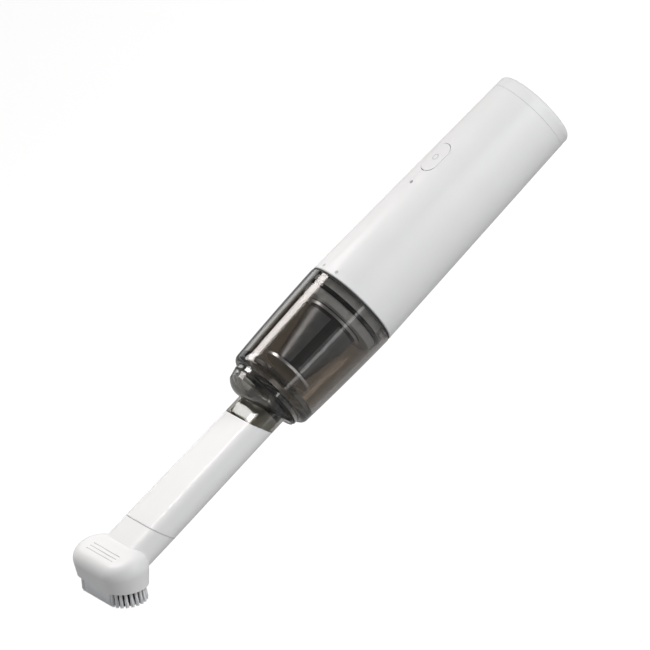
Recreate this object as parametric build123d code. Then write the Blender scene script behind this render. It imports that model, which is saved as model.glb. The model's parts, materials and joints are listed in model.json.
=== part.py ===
from build123d import *
import math
import os

# Cordless hand-held vacuum cleaner: a tapered housing, a smoked dust cup with a cone filter,
# a flat nozzle and a slanted brush head.
# Frame: millimetres, origin at the centre of the flat tail face, +X along the body axis to the brush,
# +Z up through the power button.

# Clearances
FIT = 0.15            # between pieces that are pushed together
SLIDE_FIT = 0.2       # each side of a piece that slides or lifts off
RUN_FIT = 0.05        # radial, round running pins and shafts
SWING_GAP = 0.3       # between bodies that pass each other
PIN_FIT = 0.02        # radial, round pins and screws that stay put

# Housing and tail cap
BODY_LENGTH = 160.2
TAIL_R = 25.75
SEAM_R = 29.85
HOUSING_WALL = 2.2
RIM_CHAMFER = 0.7
REST_FLAT = 0.4
CAP_LENGTH = 8.5
CAP_EDGE_R = 3.4
CAP_FLOOR = 2.4
CAP_SKIRT = 7.0
CAP_SKIRT_WALL = 1.6
CAP_SEAM_GAP = 0.12
VENT_WIDTH = 1.6
VENT_IN_R = 10.5
VENT_OUT_R = 18.5
VENT_STEP = 15.0
VENT_HALF_FAN = 60.0
CAP_SCREW_Y = 15.0
CAP_BOSS_R = 3.0
CAP_BOSS_LENGTH = 5.0

# Screws
SCREW_R = 1.0
SCREW_HEAD_R = 1.9
SCREW_HEAD = 1.4
SCREW_LENGTH = 8.0
SCREW_SLOT = 0.5
BOARD_SCREW_LENGTH = 5.0

# Power button, lamp and lock marks on the top line, by their distance behind the seam
BUTTON_BACK = 94.0
BUTTON_LENGTH = 21.0
BUTTON_WIDTH = 12.0
BUTTON_GAP = 0.45
BUTTON_PROUD = 0.2
BUTTON_FLANGE = 1.2
BUTTON_FLANGE_LIP = 1.0
BUTTON_TRAVEL = 0.8
STEM_R = 2.2
MARK_R = 2.1
MARK_LINE = 0.5
MARK_DEPTH = 0.3
LAMP_BACK = 73.5
LAMP_R = 1.05
LAMP_SHOULDER_R = 1.7
LOCK_MARK_BACK = 3.2
LOCK_MARK_R = 1.1
LOCK_MARK_TURN = 4.0
LOCK_TWIST = 25.0

# Charging port, above the tail's centre
PORT_Z = 6.0
PORT_WIDTH = 9.0
PORT_HEIGHT = 3.2
PORT_DEPTH = 7.3
PORT_WALL = 0.35
PORT_TONGUE = 0.7
PORT_BOARD = 1.0
PORT_BOARD_WIDTH = 12.0
PORT_BOARD_LENGTH = 10.0
PORT_SHELF = 2.0

# Battery and main board
CELL_R = 9.2
CELL_EDGE = 0.8
CELL_Y = 9.6
CELL_Z = -8.5
TAB_THICK = 0.4
TAB_WIDTH = 6.0
CRADLE_END = 5.0
CRADLE_BACK = 14.0
MOTOR_ROOM = 10.1     # from the cradle's front to the motor
CRADLE_RIM_Z = -4.0
CRADLE_HALF_WIDTH = 12.0
CRADLE_RING = 2.4
BOARD_Z = 14.4
BOARD_THICK = 1.6
BOARD_TONGUE = 12.0
BOARD_TAIL = 4.5
BOARD_NOSE = 3.0
SWITCH_SIZE = 6.2
SWITCH_HEIGHT = 3.2
PLUNGER_R = 1.6
PLUNGER_RISE = 1.0
LED_SIZE = 3.0
LED_HEIGHT = 1.2
CHIP_SIZE = 7.0
CHIP_HEIGHT = 1.4
COIL_R = 4.0
COIL_HEIGHT = 4.5
LEAD_R = 0.6
LEAD_BEND = 1.5
LEAD_PITCH = 3.0

# Motor and fan
BULKHEAD_BACK = 8.0
BULKHEAD = 3.0
DAMPER = 3.8
DAMPER_IN_R = 13.0
FAN_LENGTH = 24.0
FAN_WALL = 1.2
FAN_GAP = 0.6
EYE_R = 9.6
IMPELLER_R = 17.4
IMPELLER_PLATE = 1.2
BLADE_COUNT = 9
BLADE_THICK = 1.0
BLADE_HEIGHT = 8.5
BLADE_FLAT = 4.0
BLADE_INSET = 0.4
BLADE_SWEEP = 14.0
HUB_R = 4.0
DIFFUSER = 2.5
DIFFUSER_COUNT = 12
CASE_R = 15.0
CASE_WALL = 1.0
CASE_LENGTH = 22.0
REAR_DAMPER = 2.5
REAR_DAMPER_LENGTH = 6.0
SHAFT_R = 1.5
BEARING_R = 3.5
BEARING_LENGTH = 3.0
STATOR_BACK = 5.0
STATOR_LENGTH = 12.0
STATOR_YOKE = 2.2
STATOR_TEETH = 6
TOOTH_WIDTH = 4.0
MAGNET_R = 8.1
AIR_GAP = 0.5
COIL_THICK = 1.2
MOTOR_BOARD = 1.2

# Front chassis and its spigot, by distance in front of the seam
SEAM_GASKET = 1.2
SEAM_GASKET_INSET = 0.15
SPIGOT_ROOM = 2.4     # radial, between the spigot and the cup
SPIGOT_LENGTH = 14.0
SPIGOT_WALL = 3.2
SPIGOT_LIP = 2.4
O_RING_AT = 7.5
O_RING_R = 1.4
LUG_COUNT = 3
LUG_ANGLE = 17.0
LUG_LENGTH = 2.0
TAB_LENGTH = 1.4
GRILLE_IN_R = 4.0
GRILLE_OUT_R = 12.5
GRILLE_SPOKES = 6
SPOKE_WIDTH = 1.6

# Filter
FILTER_FLANGE = 1.6
FILTER_FLANGE_LIP = 1.6
FILTER_SLEEVE = 7.0
FILTER_SLEEVE_WALL = 1.6
FILTER_GASKET = 0.5
FILTER_BASE_R = 17.2
FILTER_TIP_R = 10.7
FILTER_LENGTH = 37.4
FILTER_SKIN = 1.2
FILTER_RIBS = 4
FILTER_RIB_WIDTH = 6.0
FILTER_RIB_TURN = 32.0
FILTER_RING = 2.0
FILTER_CAP = 1.6
FILTER_CAP_R = 16.0
FILTER_CAP_CROWN = 1.8
PLEAT_COUNT = 30
PLEAT_DEPTH = 2.4
PLEAT_THICK = 0.8

# Dust cup
CUP_PROUD = 0.2
CUP_RIM_R = 27.5
CUP_SWELL = 0.35
CUP_WALL = 2.2
CUP_GAP = 0.15
CUP_RIM_AT = 67.5
CUP_LIP_AT = 71.0
CUP_LIP_R = 25.3
CUP_FRONT_AT = 74.0
CUP_FRONT_R = 23.6
CUP_MOUTH_R = 22.4
CUP_MOUTH_LENGTH = 7.5

# Inlet nose and its collar
NOSE_GASKET = 1.2
NOSE_GASKET_R = 22.9
NOSE_R = 23.2
NOSE_CONE = 14.0
NOSE_HALF_WIDTH = 20.0
NOSE_FACE_AT = 81.7
NOSE_FACE_SLANT = 19.5
NOSE_WALL = 2.0
NOSE_FACE_R = 28.2
NOSE_FACE_DROP = 8.0
NOSE_EDGE_R = 12.0
NOSE_DRAFT = 20.0
NOSE_SKIRT_WALL = 1.6
DUCT_Z = -4.5
COLLAR_WIDTH = 37.4
COLLAR_HEIGHT = 16.4
COLLAR_WALL = 1.7
COLLAR_AT = 91.0
COLLAR_SLANT = 24.0

# Inlet duct and flap
DUCT_AT = 69.0
DUCT_WALL = 1.5
FLAP_THICK = 1.2
FLAP_OVERLAP = 0.8
FLAP_BARREL_R = 1.9
FLAP_PIN_R = 0.8
FLAP_PIN_LIFT = 2.4
FLAP_EAR = 2.0
FLAP_BARREL_HALF = 13.0

# Nozzle
NOZZLE_SPIGOT_LENGTH = 8.5
NOZZLE_SPIGOT_WALL = 1.4
NOZZLE_WALL = 1.8
JOINT_AT = 175.0
JOINT_SLANT = 24.0
JOINT_WIDTH = 39.8
NECK_WALL = 1.7
NECK_SPIGOT_LENGTH = 14.0

# Brush head
HEAD_AT = 211.4
HEAD_Z = -10.0
HEAD_TILT = 29.0
HEAD_LENGTH = 56.0
HEAD_WIDTH = 27.0
HEAD_CROWN = 18.5
HEAD_FALL = 12.0
HEAD_DRAFT = 8.0
HEAD_EDGE_R = 8.0
HEAD_WALL = 1.2
HEAD_ROOF = 2.6
NECK_END = 8.5
GROOVE_COUNT = 3
GROOVE_AHEAD = 1.4
GROOVE_PITCH = 2.6
GROOVE_LENGTH = 29.0
GROOVE_WIDTH = 0.7
GROOVE_DEPTH = 0.4
CARRIER = 2.4
CARRIER_RING = 5.0
STRIP = 0.8
BRISTLE_LENGTH = 9.4
BRISTLE_INSET = 0.1
STRAND = 0.48
STRAND_PITCH = 0.6
TUFT_ROWS = 3
TUFTS_PER_END = 11
HEDGE_ROWS = 2

# Places along the body axis, from the tail
SEAM_X = BODY_LENGTH
BUTTON_X = SEAM_X - BUTTON_BACK
LAMP_X = SEAM_X - LAMP_BACK
BULKHEAD_X = SEAM_X - BULKHEAD_BACK
FAN_FRONT_X = BULKHEAD_X - DAMPER
FAN_BACK_X = FAN_FRONT_X - FAN_LENGTH
MOTOR_BACK_X = FAN_BACK_X - CASE_LENGTH
CELL_BACK_X = CRADLE_BACK + CRADLE_END + TAB_THICK + FIT
CRADLE_FRONT_X = MOTOR_BACK_X - MOTOR_ROOM
CELL_FRONT_X = CRADLE_FRONT_X - CRADLE_END - FIT - TAB_THICK
SPIGOT_X = SEAM_X + SPIGOT_LENGTH
FLANGE_X = SPIGOT_X + FILTER_GASKET
CONE_X = FLANGE_X + FILTER_FLANGE
CONE_END_X = CONE_X + FILTER_LENGTH
CUP_X = SEAM_X + SEAM_GASKET + CUP_GAP
CUP_RIM_X = SEAM_X + CUP_RIM_AT
CUP_LIP_X = SEAM_X + CUP_LIP_AT
CUP_FRONT_X = SEAM_X + CUP_FRONT_AT
CUP_MOUTH_X = CUP_FRONT_X - CUP_MOUTH_LENGTH
NOSE_X = CUP_FRONT_X + NOSE_GASKET
NOSE_FACE_X = SEAM_X + NOSE_FACE_AT
COLLAR_X = SEAM_X + COLLAR_AT
DUCT_X = SEAM_X + DUCT_AT
JOINT_X = SEAM_X + JOINT_AT
HEAD_X = SEAM_X + HEAD_AT

# Sizes that follow from others
BOARD_TOP = BOARD_Z + BOARD_THICK
SWITCH_TOP = BOARD_TOP + SWITCH_HEIGHT
PLUNGER_TOP = SWITCH_TOP + PLUNGER_RISE
CASE_IN_R = CASE_R - CASE_WALL
FAN_IN_R = IMPELLER_R + FAN_GAP
FAN_R = FAN_IN_R + FAN_WALL
CRADLE_RING_IN_R = CASE_R + REAR_DAMPER + FIT
STATOR_R = CASE_IN_R - FIT
TOOTH_IN_R = MAGNET_R + AIR_GAP
CUP_R = SEAM_R + CUP_PROUD
SPIGOT_R = CUP_R - CUP_WALL - SPIGOT_ROOM
SPIGOT_IN_R = SPIGOT_R - SPIGOT_WALL
FILTER_OPEN_R = FILTER_BASE_R - FILTER_SKIN - PLEAT_THICK
FILTER_SLEEVE_R = FILTER_OPEN_R + FILTER_SLEEVE_WALL
FILTER_SEAT_R = FILTER_SLEEVE_R + FIT
FILTER_FLANGE_R = FILTER_SLEEVE_R + FILTER_FLANGE_LIP
COLLAR_BORE_WIDTH = COLLAR_WIDTH - 2 * COLLAR_WALL
COLLAR_BORE_HEIGHT = COLLAR_HEIGHT - 2 * COLLAR_WALL
SPIGOT_WIDTH = COLLAR_BORE_WIDTH - 2 * SLIDE_FIT
SPIGOT_HEIGHT = COLLAR_BORE_HEIGHT - 2 * SLIDE_FIT
AIRWAY_WIDTH = SPIGOT_WIDTH - 2 * NOZZLE_SPIGOT_WALL
AIRWAY_HEIGHT = SPIGOT_HEIGHT - 2 * NOZZLE_SPIGOT_WALL
DUCT_WIDTH = COLLAR_BORE_WIDTH - 2 * FIT
DUCT_HEIGHT = COLLAR_BORE_HEIGHT - 2 * FIT
NECK_BORE_WIDTH = JOINT_WIDTH - 2 * NECK_WALL
NECK_BORE_HEIGHT = COLLAR_HEIGHT - 2 * NECK_WALL
FLAP_PIN_X = DUCT_X - FIT - FLAP_THICK / 2
FLAP_PIN_Z = DUCT_Z + DUCT_HEIGHT / 2 + FLAP_PIN_LIFT
HEAD_TOP_DROP = HEAD_WIDTH / 2 * math.tan(math.radians(HEAD_FALL))
HEAD_SHOULDER = HEAD_CROWN - HEAD_TOP_DROP - HEAD_EDGE_R
HEAD_CEILING = HEAD_CROWN - HEAD_TOP_DROP - HEAD_ROOF
FAR = 400.0           # longer than the whole vacuum, for cutting blocks


def body_r(x):
    """Outer radius of the tapered body at x."""
    return TAIL_R + (SEAM_R - TAIL_R) * x / BODY_LENGTH


def bore_r(x, gap=0.0):
    """Inner radius of the housing at x, less a gap."""
    return body_r(x) - HOUSING_WALL - gap


def cup_bore_r(x):
    """Inner radius of the dust cup's barrel at x."""
    share = (x - CUP_X) / (CUP_RIM_X - CUP_X)
    return CUP_R - CUP_WALL + (CUP_RIM_R - CUP_R) * share


def turned(*outline):
    """Solid of revolution about X from (x, r) corners."""
    return revolve(make_face(Polyline(*outline, close=True)), Axis.X)


def ring(r_out, r_in, x0, x1):
    return turned((x0, r_in), (x0, r_out), (x1, r_out), (x1, r_in))


def frustum(x0, r0, x1, r1):
    return turned((x0, 0), (x0, r0), (x1, r1), (x1, 0))


def body_cone(x0, x1, inset):
    return frustum(x0, body_r(x0) - inset, x1, body_r(x1) - inset)


def across(x, y=0.0, z=0.0):
    """Plane square to X, with its own x along Y and its own y along Z."""
    return Plane(origin=(x, y, z), x_dir=(0, 1, 0), z_dir=(1, 0, 0))


def rod_x(r, x0, x1, y=0.0, z=0.0):
    return extrude(across(x0, y, z) * Circle(r), x1 - x0)


def rod_y(r, y0, y1, x, z):
    plane = Plane(origin=(x, y0, z), x_dir=(1, 0, 0), z_dir=(0, 1, 0))
    return extrude(plane * Circle(r), y1 - y0)


def rod_z(r, z0, z1, x, y=0.0):
    return extrude(Pos(x, y, z0) * Circle(r), z1 - z0)


def block(x0, x1, y0, y1, z0, z1):
    box = Box(x1 - x0, y1 - y0, z1 - z0, align=(Align.MIN, Align.MIN, Align.MIN))
    return Pos(x0, y0, z0) * box


def slab(width, height, x0, x1, z=DUCT_Z):
    """Flat-oval bar along X."""
    return extrude(across(x0, 0, z) * SlotOverall(width, height), x1 - x0)


def flared_slab(x0, x1, inset):
    """Flat-oval bar of the nozzle, which widens evenly from the collar to the brush joint."""
    sections = []
    for x in (x0, x1):
        share = (x - COLLAR_X) / (JOINT_X - COLLAR_X)
        width = COLLAR_WIDTH + (JOINT_WIDTH - COLLAR_WIDTH) * share - 2 * inset
        sections.append(across(x, 0, DUCT_Z) * SlotOverall(width, COLLAR_HEIGHT - 2 * inset))
    return loft(sections, ruled=True)


def slant_plane(x, z, degrees):
    """Plane across the body whose top leans forward; its normal points to the brush."""
    lean = math.radians(degrees)
    return Plane(origin=(x, 0, z), z_dir=(math.cos(lean), 0, -math.sin(lean)))


def behind(solid, plane):
    return split(solid, plane, keep=Keep.BOTTOM)


def in_front(solid, plane):
    return split(solid, plane, keep=Keep.TOP)


def sector(r_out, r_in, x0, x1, middle, width):
    """Piece of a ring, width degrees wide about an angle from +Z towards +Y."""
    arc = revolve(make_face(Polyline((x0, r_in), (x0, r_out), (x1, r_out), (x1, r_in), close=True)),
                  Axis.X, width)
    return Rot(X=90 - middle - width / 2) * arc


def polar(count, start=0.0):
    return [start + index * 360 / count for index in range(count)]


def screw(length, place):
    """Pan-head screw with its head above the place's xy plane and its shank below."""
    shank = extrude(Circle(SCREW_R), -length)
    head = extrude(Circle(SCREW_HEAD_R), SCREW_HEAD)
    slot = Pos(0, 0, SCREW_HEAD) * Box(2 * SCREW_HEAD_R, SCREW_SLOT, SCREW_SLOT * 2)
    return place * (shank + head - slot)


def top_prism(length, width, x, z0, z1):
    """Flat-ended oval post along Z, long in X."""
    return extrude(Pos(x, 0, z0) * SlotOverall(length, width), z1 - z0)


def lock_mark_posts(r):
    posts = []
    for side in (-1, 1):
        post = rod_z(r, SEAM_R / 2, SEAM_R + r, SEAM_X - LOCK_MARK_BACK)
        posts.append(Rot(X=-LOCK_MARK_TURN - side * LOCK_TWIST / 2) * post)
    return posts


def underside():
    """Space below the flat along the body's lowest line, which keeps it from rolling on a table."""
    slope = math.degrees(math.atan2(SEAM_R - TAIL_R, BODY_LENGTH))
    below = block(-SEAM_R, CUP_RIM_X, -SEAM_R, SEAM_R, -SEAM_R, 0)
    return Pos(Z=REST_FLAT - TAIL_R) * Rot(Y=slope) * below


def main_housing():
    shell = turned((CAP_LENGTH, bore_r(CAP_LENGTH)), (CAP_LENGTH, body_r(CAP_LENGTH)),
                   (SEAM_X - RIM_CHAMFER, body_r(SEAM_X - RIM_CHAMFER)), (SEAM_X, SEAM_R - RIM_CHAMFER),
                   (SEAM_X, bore_r(SEAM_X)))
    shell -= top_prism(BUTTON_LENGTH + 2 * BUTTON_GAP, BUTTON_WIDTH + 2 * BUTTON_GAP, BUTTON_X, 0, SEAM_R)
    shell -= rod_z(LAMP_R + FIT, 0, SEAM_R, LAMP_X)
    skin = body_cone(CAP_LENGTH, SEAM_X, 0) - body_cone(CAP_LENGTH, SEAM_X, MARK_DEPTH)
    for post in lock_mark_posts(LOCK_MARK_R + PIN_FIT):
        shell -= post & skin
    for angle in polar(LUG_COUNT):
        shell -= chassis_catch(angle, FIT)
    return shell - underside()


def lock_marks():
    outer = body_cone(CAP_LENGTH, SEAM_X, 0)
    inner = body_cone(CAP_LENGTH, SEAM_X, MARK_DEPTH)
    return Compound([(post & outer - inner).solid() for post in lock_mark_posts(LOCK_MARK_R)])


def chassis_catch(angle, gap):
    """Snap catch of the front chassis, or with a gap the pocket for it in the housing."""
    x0 = BULKHEAD_X + BULKHEAD - gap
    x1 = x0 + LUG_LENGTH + 2 * gap
    r_out = bore_r(x0) + HOUSING_WALL / 3 + gap
    return sector(r_out, bore_r(BULKHEAD_X) - HOUSING_WALL, x0, x1, angle, LUG_ANGLE + gap)


def tail_cap():
    edge = CAP_EDGE_R
    tail = CAP_LENGTH - CAP_SEAM_GAP
    skirt_end = CAP_LENGTH + CAP_SKIRT
    skirt_in = bore_r(CAP_LENGTH, FIT) - CAP_SKIRT_WALL
    corner = edge * (1 - math.sqrt(0.5))
    outline = Polyline((edge, body_r(edge)), (tail, body_r(tail)), (tail, bore_r(tail, FIT)),
                       (skirt_end, bore_r(skirt_end, FIT)), (skirt_end, skirt_in), (CAP_FLOOR, skirt_in),
                       (CAP_FLOOR, 0), (0, 0), (0, body_r(edge) - edge))
    rounding = ThreePointArc((0, body_r(edge) - edge), (corner, body_r(edge) - corner), (edge, body_r(edge)))
    cap = revolve(make_face(outline + rounding), Axis.X)
    for side in (-1, 1):
        cap += rod_x(CAP_BOSS_R, CAP_FLOOR / 2, CAP_BOSS_LENGTH, side * CAP_SCREW_Y)
    shelf_z = port_board_z()
    cap += block(CAP_FLOOR / 2, CAP_FLOOR + PORT_BOARD_LENGTH, -PORT_BOARD_WIDTH / 2, PORT_BOARD_WIDTH / 2,
                 shelf_z - PORT_SHELF, shelf_z)
    cap -= slab(PORT_WIDTH + 2 * FIT, PORT_HEIGHT + 2 * FIT, 0, CAP_FLOOR, PORT_Z)
    for side in (-1, 1):
        y = side * CAP_SCREW_Y
        cap -= rod_x(SCREW_R + PIN_FIT, 0, CAP_BOSS_LENGTH, y)
        cap -= rod_x(SCREW_HEAD_R + FIT, 0, SCREW_HEAD + FIT, y)
    fan = int(VENT_HALF_FAN / VENT_STEP)
    vent_length = VENT_OUT_R - VENT_IN_R + VENT_WIDTH
    for index in range(-fan, fan + 1):
        for base in (0, 180):
            place = across(0, 0, (VENT_IN_R + VENT_OUT_R) / 2) * Rot(Z=90)
            vent = extrude(place * SlotOverall(vent_length, VENT_WIDTH), CAP_FLOOR)
            cap -= Rot(X=base + index * VENT_STEP) * vent
    return cap - underside()


def cap_screws():
    screws = []
    for side in (-1, 1):
        place = Plane(origin=(SCREW_HEAD + FIT, side * CAP_SCREW_Y, 0), x_dir=(0, 1, 0), z_dir=(-1, 0, 0))
        screws.append(screw(SCREW_LENGTH, place).solid())
    return Compound(screws)


def power_button():
    skin_top = body_cone(CAP_LENGTH, SEAM_X, -BUTTON_PROUD)
    roof = body_cone(CAP_LENGTH, SEAM_X, HOUSING_WALL + SWING_GAP)
    floor = body_cone(CAP_LENGTH, SEAM_X, HOUSING_WALL + SWING_GAP + BUTTON_FLANGE)
    above = BUTTON_WIDTH
    cap = top_prism(BUTTON_LENGTH, BUTTON_WIDTH, BUTTON_X, above, SEAM_R * 2) & skin_top
    lip = 2 * (BUTTON_GAP + BUTTON_FLANGE_LIP)
    flange = top_prism(BUTTON_LENGTH + lip, BUTTON_WIDTH + lip, BUTTON_X, above, SEAM_R * 2) & roof
    stem = rod_z(STEM_R, PLUNGER_TOP, body_r(BUTTON_X), BUTTON_X)
    button = (cap + flange) - floor + (stem & roof)
    return button - button_mark_ring(PIN_FIT)


def button_mark_ring(gap):
    """Ring let into the button's top; with a gap, the groove for it."""
    tall = rod_z(MARK_R + gap, 0, SEAM_R * 2, BUTTON_X)
    tall -= rod_z(MARK_R - MARK_LINE - gap, 0, SEAM_R * 2, BUTTON_X)
    top = body_cone(CAP_LENGTH, SEAM_X, -BUTTON_PROUD)
    under = body_cone(CAP_LENGTH, SEAM_X, MARK_DEPTH - BUTTON_PROUD)
    upper_half = block(0, FAR, -SEAM_R, SEAM_R, 0, SEAM_R * 2)
    return (tall & top & upper_half) - under


def button_mark():
    return button_mark_ring(0.0)


def switch_plunger():
    return rod_z(PLUNGER_R, SWITCH_TOP - PLUNGER_RISE, PLUNGER_TOP, BUTTON_X)


def tact_switch():
    half = SWITCH_SIZE / 2
    case = block(BUTTON_X - half, BUTTON_X + half, -half, half, BOARD_TOP, SWITCH_TOP)
    depth = PLUNGER_RISE + BUTTON_TRAVEL + FIT
    return case - rod_z(PLUNGER_R + RUN_FIT, SWITCH_TOP - depth, SWITCH_TOP, BUTTON_X)


def status_led():
    half = LED_SIZE / 2
    return block(LAMP_X - half, LAMP_X + half, -half, half, BOARD_TOP, BOARD_TOP + LED_HEIGHT)


def light_pipe():
    lens = rod_z(LAMP_R, BOARD_TOP + LED_HEIGHT + FIT, SEAM_R, LAMP_X) & body_cone(CAP_LENGTH, SEAM_X, 0)
    shoulder = rod_z(LAMP_SHOULDER_R, BOARD_TOP + LED_HEIGHT + FIT, SEAM_R, LAMP_X)
    return lens + (shoulder & body_cone(CAP_LENGTH, SEAM_X, HOUSING_WALL + FIT))


def board_holes():
    """Centres of the four main board screws."""
    x_back = CRADLE_BACK + CRADLE_END / 2
    x_front = CRADLE_FRONT_X - CRADLE_END / 2
    y = CRADLE_HALF_WIDTH - CRADLE_END / 2
    return [(x, side * y) for x in (x_back, x_front) for side in (-1, 1)]


def main_board():
    half = CRADLE_HALF_WIDTH
    board = block(CRADLE_BACK, CRADLE_FRONT_X, -half, half, BOARD_Z, BOARD_TOP)
    tongue = BOARD_TONGUE / 2
    board += block(CRADLE_BACK - BOARD_TAIL, MOTOR_BACK_X - BOARD_NOSE, -tongue, tongue, BOARD_Z, BOARD_TOP)
    for x, y in board_holes():
        board -= rod_z(SCREW_R + PIN_FIT, BOARD_Z, BOARD_TOP, x, y)
    return board


def board_screws():
    screws = []
    for x, y in board_holes():
        screws.append(screw(BOARD_SCREW_LENGTH, Pos(x, y, BOARD_TOP)).solid())
    return Compound(screws)


def board_components():
    y = CRADLE_HALF_WIDTH / 2
    top = BOARD_TOP
    half = CHIP_SIZE / 2
    x_back = (CRADLE_BACK + CRADLE_END + BUTTON_X) / 2
    x_mid = (BUTTON_X + LAMP_X) / 2
    chips = [block(x - half, x + half, y - half, y + half, top, top + CHIP_HEIGHT) for x in (x_back, x_mid)]
    coil = rod_z(COIL_R, top, top + COIL_HEIGHT, x_back, -y)
    capacitor = rod_z(COIL_R / 2, top, top + COIL_HEIGHT, x_mid, -y)
    return Compound([piece.solid() for piece in (*chips, coil, capacitor)])


def battery_cell(side):
    cell = rod_x(CELL_R, CELL_BACK_X, CELL_FRONT_X, side * CELL_Y, CELL_Z)
    return chamfer(cell.edges().filter_by(GeomType.CIRCLE), CELL_EDGE)


def battery_tabs():
    """A strip that joins the cells at the tail, and one tab for each cell in front."""
    z0 = CELL_Z - TAB_WIDTH / 2
    z1 = CELL_Z + TAB_WIDTH / 2
    rise = CELL_Z + CELL_R + 2 * LEAD_R
    half = TAB_WIDTH / 2
    joined = block(CELL_BACK_X - TAB_THICK, CELL_BACK_X, -CELL_Y - half, CELL_Y + half, z0, z1)
    tabs = [joined]
    for side in (-1, 1):
        y = side * CELL_Y
        tabs.append(block(CELL_FRONT_X, CELL_FRONT_X + TAB_THICK, y - half, y + half, z0, rise))
    return Compound([tab.solid() for tab in tabs])


def battery_cradle():
    half = CRADLE_HALF_WIDTH
    back = CRADLE_BACK
    front = CRADLE_FRONT_X
    trough = body_cone(CAP_LENGTH + CAP_SKIRT + FIT, front, HOUSING_WALL + SWING_GAP)
    trough = trough & block(0, FAR, -SEAM_R, SEAM_R, -SEAM_R, CRADLE_RIM_Z)
    ends = block(back, back + CRADLE_END, -half, half, CELL_Z, BOARD_Z)
    ends += block(front - CRADLE_END, front, -half, half, CELL_Z, BOARD_Z)
    reach = CAP_SCREW_Y + CAP_BOSS_R
    ends += block(back, back + CRADLE_END, -reach, reach, CRADLE_RIM_Z - CAP_BOSS_R, CAP_BOSS_R)
    cradle = trough + ends
    for side in (-1, 1):
        cradle += rod_x(CAP_BOSS_R, CAP_BOSS_LENGTH, back + CRADLE_END, side * CAP_SCREW_Y)
    ring_r = CRADLE_RING_IN_R + CRADLE_RING
    cradle += ring(ring_r, CRADLE_RING_IN_R, front, MOTOR_BACK_X + REAR_DAMPER_LENGTH)
    for side in (-1, 1):
        y = side * CAP_SCREW_Y
        cradle -= rod_x(SCREW_R + PIN_FIT, CAP_BOSS_LENGTH, CAP_BOSS_LENGTH + SCREW_LENGTH, y)
        cradle -= rod_x(CELL_R + FIT, back + CRADLE_END, front - CRADLE_END, side * CELL_Y, CELL_Z)
    pocket_x = back + CRADLE_END
    cradle -= block(pocket_x, front - CRADLE_END, -CELL_Y, CELL_Y, CELL_Z, BOARD_Z)
    cradle -= block(pocket_x, CELL_BACK_X, -CELL_Y, CELL_Y, CELL_Z - TAB_WIDTH / 2 - FIT, CELL_Z)
    for x, y in board_holes():
        cradle -= rod_z(SCREW_R + PIN_FIT, BOARD_Z - BOARD_SCREW_LENGTH, BOARD_Z, x, y)
    return cradle


def usb_port():
    shell = slab(PORT_WIDTH, PORT_HEIGHT, 0, PORT_DEPTH, PORT_Z)
    mouth_width = PORT_WIDTH - 2 * PORT_WALL
    mouth_height = PORT_HEIGHT - 2 * PORT_WALL
    shell -= slab(mouth_width, mouth_height, 0, PORT_DEPTH - PORT_TONGUE, PORT_Z)
    half = PORT_WIDTH / 2 - PORT_HEIGHT / 2
    rise = PORT_TONGUE / 2
    tongue = block(PORT_TONGUE, PORT_DEPTH, -half, half, PORT_Z - rise, PORT_Z + rise)
    return shell + tongue


def port_board_z():
    """Underside of the charging port's board, on the tail cap's shelf."""
    return PORT_Z - PORT_HEIGHT / 2 - PORT_BOARD


def usb_board():
    half = PORT_BOARD_WIDTH / 2
    z = port_board_z()
    return block(CAP_FLOOR, CAP_FLOOR + PORT_BOARD_LENGTH, -half, half, z, z + PORT_BOARD)


def charge_leads():
    """Two upright leads from the charging port's board to the main board."""
    x = CAP_FLOOR + PORT_BOARD_LENGTH - LEAD_PITCH / 2
    z = port_board_z() + PORT_BOARD
    leads = [rod_z(LEAD_R, z, BOARD_Z, x, side * LEAD_PITCH) for side in (-1, 1)]
    return Compound([lead.solid() for lead in leads])


def battery_leads():
    """Upright leads from the front battery tabs to the main board."""
    x = CELL_FRONT_X - LEAD_R
    z = CELL_Z + CELL_R + FIT
    leads = [rod_z(LEAD_R, z, BOARD_Z, x, side * CELL_Y) for side in (-1, 1)]
    return Compound([lead.solid() for lead in leads])


def motor_leads():
    """Three leads from the motor's board, back and up to the front tongue of the main board."""
    start = MOTOR_BACK_X - MOTOR_BOARD
    x = MOTOR_BACK_X - BOARD_NOSE - LEAD_R - FIT
    z = BOARD_Z - 2 * LEAD_BEND
    leads = []
    for index in (-1, 0, 1):
        y = index * LEAD_PITCH
        path = FilletPolyline((start, y, z), (x, y, z), (x, y, BOARD_Z), radius=LEAD_BEND * 2 / 3)
        leads.append(sweep(Plane(origin=(start, y, z), z_dir=(-1, 0, 0)) * Circle(LEAD_R), path).solid())
    return Compound(leads)


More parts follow.
